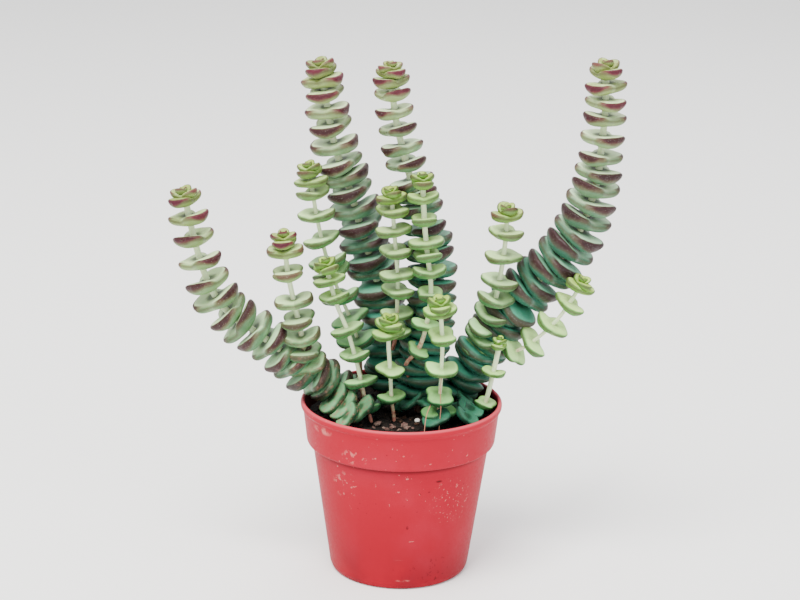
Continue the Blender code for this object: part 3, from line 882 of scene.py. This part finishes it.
# Pot: thin plastic with a collar and a rolled lip, radius and height of its wall's section
potShell = {
    "outside": ((34, 0), (35.6, 0.8), (36.5, 3), (45.3, 64), (45.8, 69.2), (46.6, 69.5), (48.6, 69.9), (49.1, 70.9),
                (51.0, 87.4), (51.6, 88.3), (52.2, 88.9), (52.3, 89.6), (52.3, 91.0), (51.7, 91.8), (50.9, 92)),
    "inside": ((50.3, 91.6), (50.1, 88.6), (49.6, 87.0), (47.8, 72.2), (47.2, 71.2), (45.2, 70.6), (44.5, 69.6),
               (44.0, 64), (35.3, 3.4), (34.0, 1.9)),
    "sides": 144,
    "edge": {"width": 0.35, "segments": 3, "angle": 14},
    "drains": {"count": 6, "radius": 4.2, "circle": 22, "sides": 40, "drillLength": 12},
    "red": (158, 18, 40),
    "lowShadeRed": (148, 12, 34),
    "paleRed": (176, 50, 70),
    "lipHighlightRed": (204, 88, 98),
    "innerShade": (22, 6, 6),
    "dust": (218, 138, 128),
    "dirtAndShade": (58, 20, 20),
    "innerFrom": 3,
}
potHeights = {  # metres, from where a tint starts to where it is full
    "upperRed": (0.02, 0.075), "flecks": (0.03, 0.06), "film": (0.03, 0.0), "lipHighlight": (0.0905, 0.0916),
    "collarShadeAndDirtBelow": (0.0662, 0.0692), "collarShadeAndDirtAbove": (0.0702, 0.0698), "innerShade": (0.0965, 0.0915),
}
# Marks on the front of the pot: colour, middle across and up, half width and half height in mm,
# where their noise starts and is full, its scale, and how strong they are
potMarks = {
    "collarScuff": ("dust", (-39.5, 85), (5.5, 2.6), (0.36, 0.56), 260, 0.5),
    "collarScratches": ("dust", (-23, 75.5), (8, 5), (0.57, 0.64), 330, 0.4),
    "wallScratches": ("dust", (-28, 57), (7, 9), (0.56, 0.63), 330, 0.42),
    "wallDots": ("dust", (26, 49), (12, 16), (0.6, 0.68), 640, 0.42),
    "footScratch": ("dust", (2, 5.4), (4.5, 0.7), (0.4, 0.6), 300, 0.5),
    "speckHigh": ("dirtAndShade", (19.6, 62), (2.0, 0.8), (0.2, 0.4), 500, 0.8),
    "speckLow": ("dirtAndShade", (4, 36.7), (0.9, 1.2), (0.2, 0.4), 500, 0.8),
    "footDirt": ("dirtAndShade", (17, 11), (15, 10), (0.6, 0.68), 520, 0.6),
}


def makePotFinish():
    finish, shader = newFinish("potPlastic")
    place = objectPlace(shader)
    across, depth, height = addNode("ShaderNodeSeparateXYZ", {0: place}).outputs
    clouds = speckle(place, 28, 4.0)
    fine = speckle(place, 700, 3.0)
    # Painted shade: the red is darker towards the bottom of the pot
    skin = blendIn(spread(height, *potHeights["upperRed"]), potShell["lowShadeRed"], potShell["red"])
    skin = blendIn(spread(clouds, 0.45, 0.75, 0.0, 0.22), skin, potShell["paleRed"])
    # Handling scuffs: short pale streaks, and a dusty film low on the wall
    streakPlace = addNode("ShaderNodeMapping", {"Vector": place, "Scale": (1, 1, 5)}).outputs[0]
    streaks = times(spread(speckle(streakPlace, 95, 6.0, 0.7), 0.66, 0.72), spread(clouds, 0.5, 0.62))
    skin = blendIn(times(streaks, 0.5), skin, potShell["dust"])
    flecks = times(spread(speckle(place, 430, 2.0), 0.69, 0.73, 0, 0.45), spread(clouds, 0.42, 0.6),
                   spread(height, *potHeights["flecks"]))
    skin = blendIn(flecks, skin, potShell["dust"])
    dots = spread(speckle(place, 520, 1.0), 0.76, 0.8)
    skin = blendIn(times(dots, 0.55), skin, potShell["dirtAndShade"])
    film = times(spread(height, *potHeights["film"]), spread(clouds, 0.4, 0.6, 0.0, 0.35))
    skin = blendIn(film, skin, potShell["dirtAndShade"])
    # Painted shadow, with some dirt, darkens the step under the collar, and a painted highlight lightens the lip's
    # top edge
    # Painted shadow with some dirt under the collar
    step = times(spread(height, *potHeights["collarShadeAndDirtBelow"]), spread(height, *potHeights["collarShadeAndDirtAbove"]), 0.75)
    skin = blendIn(step, skin, potShell["dirtAndShade"])
    # Painted highlight: a pale band along the lip's top edge
    skin = blendIn(spread(height, *potHeights["lipHighlight"], 0, 0.55), skin, potShell["lipHighlightRed"])
    front = spread(depth, 0.0, -0.01)
    for colour, (x, z), (halfWidth, halfHeight), breaks, scale, strength in potMarks.values():
        offX = sums("DIVIDE", minus(across, x * mm), halfWidth * mm)
        offZ = sums("DIVIDE", minus(height, z * mm), halfHeight * mm)
        away = plus(times(offX, offX), times(offZ, offZ))
        broken = spread(speckle(place, scale, 4.0), *breaks, 0, strength)
        share = times(spread(away, 1.0, 0.1), broken, front)
        skin = blendIn(share, skin, potShell[colour])
    # Painted shade: the wall inside is darkened almost to black from just under the lip down
    innerShade = plus(height, times(clouds, 0.006))
    innerShade = times(reading(shader, "inner"), spread(innerShade, *potHeights["innerShade"], 0, 0.94))
    skin = blendIn(innerShade, skin, potShell["innerShade"])
    worn = plus(spread(fine, 0.3, 0.7, 0.4, 0.52), times(streaks, 0.2))
    plugIn(shader, {"Base Color": skin, "Roughness": worn, "Specular IOR Level": 0.06})
    bumps(shader, fine, 0.0001, 0.25)
    return finish


def makePot():
    pot = latheUp("potShell", potShell["sides"], [*potShell["outside"], *potShell["inside"]])
    edge, drains = potShell["edge"], potShell["drains"]
    edges = pot.modifiers.new("softEdges", "BEVEL")
    edges.width = edge["width"] * mm
    edges.segments = edge["segments"]
    edges.limit_method = "ANGLE"
    edges.angle_limit = math.radians(edge["angle"])
    drills = []
    for i in range(drains["count"]):
        angle = 2 * math.pi * (i + 0.5) / drains["count"]
        spot = Vector((math.cos(angle), math.sin(angle), 0)) * drains["circle"] * mm
        clearSelection()
        bpy.ops.mesh.primitive_cylinder_add(vertices=drains["sides"], radius=drains["radius"] * mm,
                                            depth=drains["drillLength"] * mm, location=spot)
        bpy.ops.object.transform_apply(location=True, rotation=True, scale=True)
        drills.append(bpy.context.active_object)
    drill = joinAll(drills, "potDrill")
    holes = pot.modifiers.new("drainHoles", "BOOLEAN")
    holes.object = drill
    holes.operation = "DIFFERENCE"
    applyAll(pot)
    bpy.data.objects.remove(drill)
    roundShade(pot, 30)
    inner = []
    for point in pot.data.vertices:
        outwards = point.normal.x * point.co.x + point.normal.y * point.co.y
        inner.append(1.0 if outwards < 0 and point.co.z > potShell["innerFrom"] * mm else 0.0)
    writeReadings(pot, {"inner": inner})
    pot.data.materials.append(makePotFinish())
    handOver(pot, "pot_plastic", "pot")
    print("pot")


# Soil: a lumpy bed with loose grains, bark chips, perlite and withered leaf bits on it
soilBed = {
    "bottom": ((30.5, 2.3), (33.6, 4.4), (43.7, 64), (44.2, 69.9), (45.0, 70.9), (47.0, 71.6), (47.5, 72.6),
               (48.5, 80.5)),
    "edgeRadius": 48.7,
    "level": 82.5,
    "relief": 0.8,
    "rings": 26,
    "middleGap": 0.4,
    "sides": 120,
    "lumps": 1.1,
    "lumpScale": 0.32,
    "lumpNoise": (0.8, 2.1, 4),
    "lumpFade": 3,
    "fibre": (128, 100, 76),
}
earthLooks = {  # dark and light colour, and relief in metres
    "pottingSoil": ((14, 11, 10), (34, 27, 23), 0.0012),
    "barkBrown": ((40, 26, 20), (78, 54, 40), 0.0006),
    "witheredLeaf": ((84, 58, 54), (136, 116, 104), 0.0004),
}


def soilHeight(x, y):  # mm, the same slow waves as the solid
    waves = math.sin(0.31 * x + 1.0) * math.cos(0.27 * y - 0.6)
    waves += 0.6 * math.sin(0.55 * y + 0.23 * x) + 0.5 * math.cos(0.62 * x - 0.38 * y + 2.0)
    return soilBed["level"] + soilBed["relief"] * waves / 2


def makeEarthFinish(name):
    finish, shader = newFinish(name)
    dark, light, relief = earthLooks[name]
    place = objectPlace(shader)
    crumbs = speckle(place, 420, 6.0, 0.7)
    fibres = speckle(place, 1300, 3.0)
    skin = blendIn(spread(crumbs, 0.4, 0.68), dark, light)
    skin = blendIn(spread(fibres, 0.62, 0.72, 0.0, 0.35), skin, soilBed["fibre"])
    rough = spread(fibres, 0.3, 0.7, 0.8, 0.98)
    plugIn(shader, {"Base Color": skin, "Roughness": rough, "Specular IOR Level": 0.2})
    bumps(shader, crumbs, relief, 1.0)
    return finish


def makeSoilBed(earth):
    edge, count = soilBed["edgeRadius"], soilBed["rings"]
    surface = [(edge * (1 - i / (count + soilBed["middleGap"])), soilBed["level"]) for i in range(count + 1)]
    bed = latheUp("soilBed", soilBed["sides"], [*soilBed["bottom"], *surface])
    for point in bed.data.vertices:
        x, y, z = point.co / mm
        if z > soilBed["level"] - 0.1:
            lump = noise.fractal(Vector((x, y, 0)) * soilBed["lumpScale"], *soilBed["lumpNoise"])
            inward = min(1, (edge - math.hypot(x, y)) / soilBed["lumpFade"])
            point.co.z = (soilHeight(x, y) + soilBed["lumps"] * lump * inward) * mm
    bed.data.materials.append(earth)
    roundShade(bed, 60)
    handOver(bed, "soil", "soil")


looseBits = {
    "grains": {"count": 620, "size": (0.5, 1.6), "flat": 0.7, "seed": 41},
    "bark": {"count": 45, "size": (1.2, 2.6), "flat": 0.35, "seed": 42},
    "perlite": {"count": 5, "size": (0.7, 1.6), "flat": 0.85, "seed": 43},
    "withered": {"count": 20, "size": (1.2, 3.4), "flat": 0.6, "seed": 44},
}
bitRule = {
    "bareEdge": 1.2, "raised": 0.25, "tilts": (-0.5, 0.5), "corners": (0.7, 1.15), "widths": (0.7, 1.3),
    "depths": (0.7, 1.0),
}
perlitePlaces = ((8.5, -9.5), (35, -20))  # the two bright bits near the middle and on the right
witheredPlaces = ((-12, -16), (-9, -19), (-7, -22), (-4, -20), (-1, -23), (1, -19), (3, -22), (6, -21), (-14, -20),
                  (-5, -16), (2, -16))


def scatterBits(name, kind, finish, places=()):
    values = looseBits[kind]
    draw = random.Random(values["seed"])
    clearSelection()
    bpy.ops.mesh.primitive_ico_sphere_add(subdivisions=1 if kind != "perlite" else 2, radius=1)
    model = nameNew(name + "Model")
    model.data.materials.append(finish)
    corners = pointsOf(model)
    small, large = values["size"]
    made = []
    for i in range(values["count"]):
        radius = (soilBed["edgeRadius"] - bitRule["bareEdge"]) * math.sqrt(draw.random())
        angle = draw.uniform(0, 2 * math.pi)
        x, y = radius * math.cos(angle), radius * math.sin(angle)
        if i < len(places):
            x, y = places[i]
        size = small + (large - small) * draw.random() ** 2
        if kind == "perlite" and i < len(places):
            size = large
        turned = Matrix.Rotation(draw.uniform(0, 6.3), 3, "Z")
        turned = turned @ Matrix.Rotation(draw.uniform(*bitRule["tilts"]), 3, "X")
        rough = np.array([[draw.uniform(*bitRule["corners"])] for corner in corners])
        shares = np.array([draw.uniform(*bitRule["widths"]), draw.uniform(*bitRule["depths"]), values["flat"]])
        shaped = (corners * rough * shares * size) @ np.array(turned).T
        made.append(placeCopy(model, shaped + np.array((x, y, soilHeight(x, y) + size * bitRule["raised"]))))
    bpy.data.objects.remove(model)
    whole = joinAll(made, name)
    if kind == "perlite":
        bpy.ops.object.shade_smooth()
    handOver(whole, "soil")


perliteHues = {"pits": (176, 168, 156), "white": (238, 236, 228)}


def makePerliteFinish():
    finish, shader = newFinish("perliteWhite")
    pits = speckle(objectPlace(shader), 1600, 4.0)
    skin = blendIn(spread(pits, 0.35, 0.6), perliteHues["pits"], perliteHues["white"])
    plugIn(shader, {"Base Color": skin, "Roughness": 0.85})
    bumps(shader, pits, 0.0004, 0.8)
    return finish


def makeSoil():
    earth = makeEarthFinish("pottingSoil")
    makeSoilBed(earth)
    scatterBits("soilGrains", "grains", earth)
    scatterBits("barkChips", "bark", makeEarthFinish("barkBrown"))
    scatterBits("perliteBits", "perlite", makePerliteFinish(), perlitePlaces)
    scatterBits("witheredBits", "withered", makeEarthFinish("witheredLeaf"), witheredPlaces)
    print("soil")


# Floor, light and camera
studio = {
    "floorSize": 24,
    "floor": (246, 246, 246),
    "surround": 1.4,
    "viewDistance": 1.0,
    "viewElevation": 16.28,
    "viewRoll": 0.95,
    "viewTarget": (-0.0016, 0, 0.1452),
    "lens": 87.84,
    "sensor": 36,
    "clipEnd": 100,
}
lamps = {
    "windowLight": {"place": (-0.45, -0.85, 1.9), "size": 1.0, "power": 84, "tint": (255, 252, 246)},
    "fillLight": {"place": (1.3, -1.2, 1.1), "size": 1.2, "power": 11, "tint": (246, 250, 255)},
    "backLight": {"place": (0.3, 1.2, 1.7), "size": 1.0, "power": 14, "tint": (255, 255, 255)},
}


def makeStudio():
    clearSelection()
    bpy.ops.mesh.primitive_plane_add(size=studio["floorSize"])
    floor = nameNew("paleFloor")
    finish, shader = newFinish("palePaper")
    plugIn(shader, {"Base Color": tint(*studio["floor"]), "Roughness": 0.9, "Specular IOR Level": 0.1})
    floor.data.materials.append(finish)
    world = bpy.data.worlds.new("paleRoom")
    bpy.context.scene.world = world
    world.use_nodes = True
    sky = world.node_tree.nodes["Background"]
    plugIn(sky, {"Color": (1, 1, 1, 1), "Strength": studio["surround"]})
    target = Vector(studio["viewTarget"])
    for name, lamp in lamps.items():
        place = Vector(lamp["place"])
        bpy.ops.object.light_add(type="AREA", location=place)
        light = nameNew(name)
        light.rotation_euler = (target - place).to_track_quat("-Z", "Y").to_euler()
        light.data.size = lamp["size"]
        light.data.energy = lamp["power"]
        light.data.color = tint(*lamp["tint"])[:3]
    elevation = math.radians(studio["viewElevation"])
    back = Vector((0, -math.cos(elevation), math.sin(elevation)))
    bpy.ops.object.camera_add(location=target + back * studio["viewDistance"])
    camera = nameNew("photoCamera")
    roll = Matrix.Rotation(math.radians(studio["viewRoll"]), 3, "Z")
    camera.rotation_euler = (Matrix.Rotation(math.pi / 2 - elevation, 3, "X") @ roll).to_euler()
    camera.data.lens = studio["lens"]
    camera.data.sensor_width = studio["sensor"]
    camera.data.clip_end = studio["clipEnd"]
    bpy.context.scene.camera = camera
    print("studio")


makeStudio()
makePot()
makeSoil()
makePlants()
